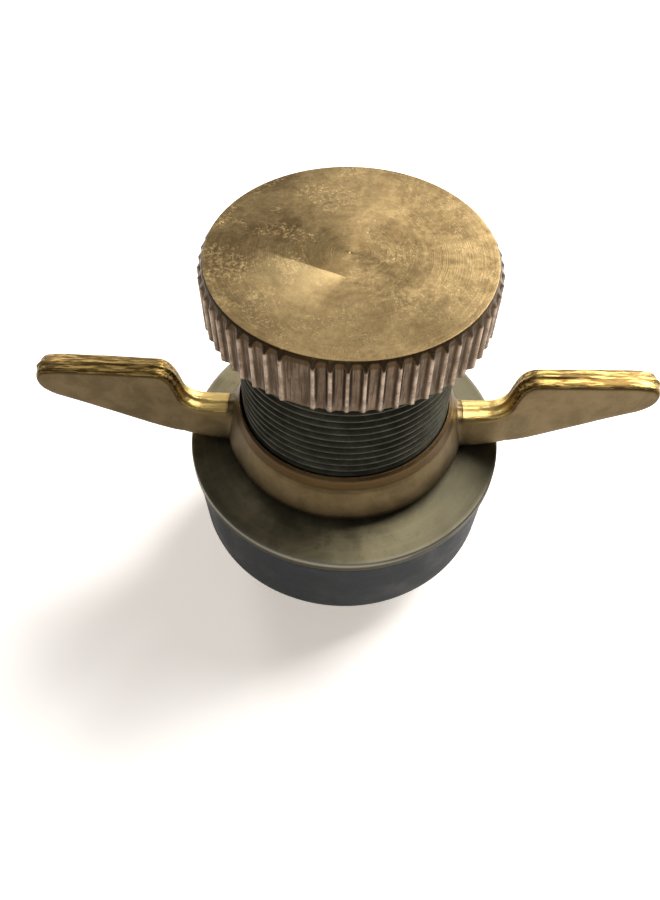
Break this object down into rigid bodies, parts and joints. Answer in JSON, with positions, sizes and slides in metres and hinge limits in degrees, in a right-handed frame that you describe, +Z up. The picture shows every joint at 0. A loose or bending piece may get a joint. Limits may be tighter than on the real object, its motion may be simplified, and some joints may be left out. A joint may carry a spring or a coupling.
{
  "type": "expanding pipe test plug",
  "caption": "Expanding pipe test plug: rubber ring between two steel plates on a hollow threaded tube, squeezed by a brass wing nut and closed by a knurled cap.",
  "frame": {"origin": "on the tube's axis, in the plane of the lock nut's foot, at the centre of the bounding box's bottom", "axes": "+Z up along the tube's axis from the lock nut towards the cap; +X along the wings; +Y completes the right-handed frame"},
  "size_m": [0.0624, 0.0332, 0.0408],
  "materials": {
    "threaded_tube": "dull dark zinc plate, threaded",
    "lock_nut": "satin zinc plate",
    "lower_sealing_washer": "red vulcanised fibre",
    "lower_plate": "satin zinc plate",
    "upper_plate": "satin zinc plate",
    "rubber_ring": "matte dark slate",
    "wing_nut": "hot stamped, matt faces with rubbed bright edges",
    "cap_washer": "matte",
    "cap": "turned face, straight knurl"
  },
  "bodies": {
    "stem": {"threaded_tube": "threaded_tube", "lock_nut": "lock_nut", "lower_sealing_washer": "lower_sealing_washer", "lower_plate": "lower_plate", "rubber_ring": "rubber_ring"},
    "pressure_plate": {"upper_plate": "upper_plate"},
    "wing_nut": {"wing_nut": "wing_nut"},
    "cap_seal": {"cap_washer": "cap_washer"},
    "cap": {"cap": "cap"}
  },
  "joints": [
    {"name": "plate_slide", "type": "slide", "parent": "stem", "child": "pressure_plate", "axis": [0, 0, 1], "range_m": [-0.00273, 0], "deforming": ["rubber_ring"]},
    {"name": "wing_nut_spin", "type": "hinge", "parent": "pressure_plate", "child": "wing_nut", "pos_m": [0, 0, 0.01735], "axis": [0, 0, 1], "range_deg": [-1080, 0]},
    {"name": "cap_lift", "type": "slide", "parent": "stem", "child": "cap_seal", "axis": [0, 0, 1], "range_m": [0, 0.00228]},
    {"name": "cap_spin", "type": "hinge", "parent": "cap_seal", "child": "cap", "pos_m": [0, 0, 0.0352], "axis": [0, 0, 1], "range_deg": [0, 900]}
  ],
  "couplings": [
    {"joint": "plate_slide", "follows": "wing_nut_spin", "m_per_rad": 0.00014435},
    {"joint": "cap_lift", "follows": "cap_spin", "m_per_rad": 0.00014435}
  ]
}
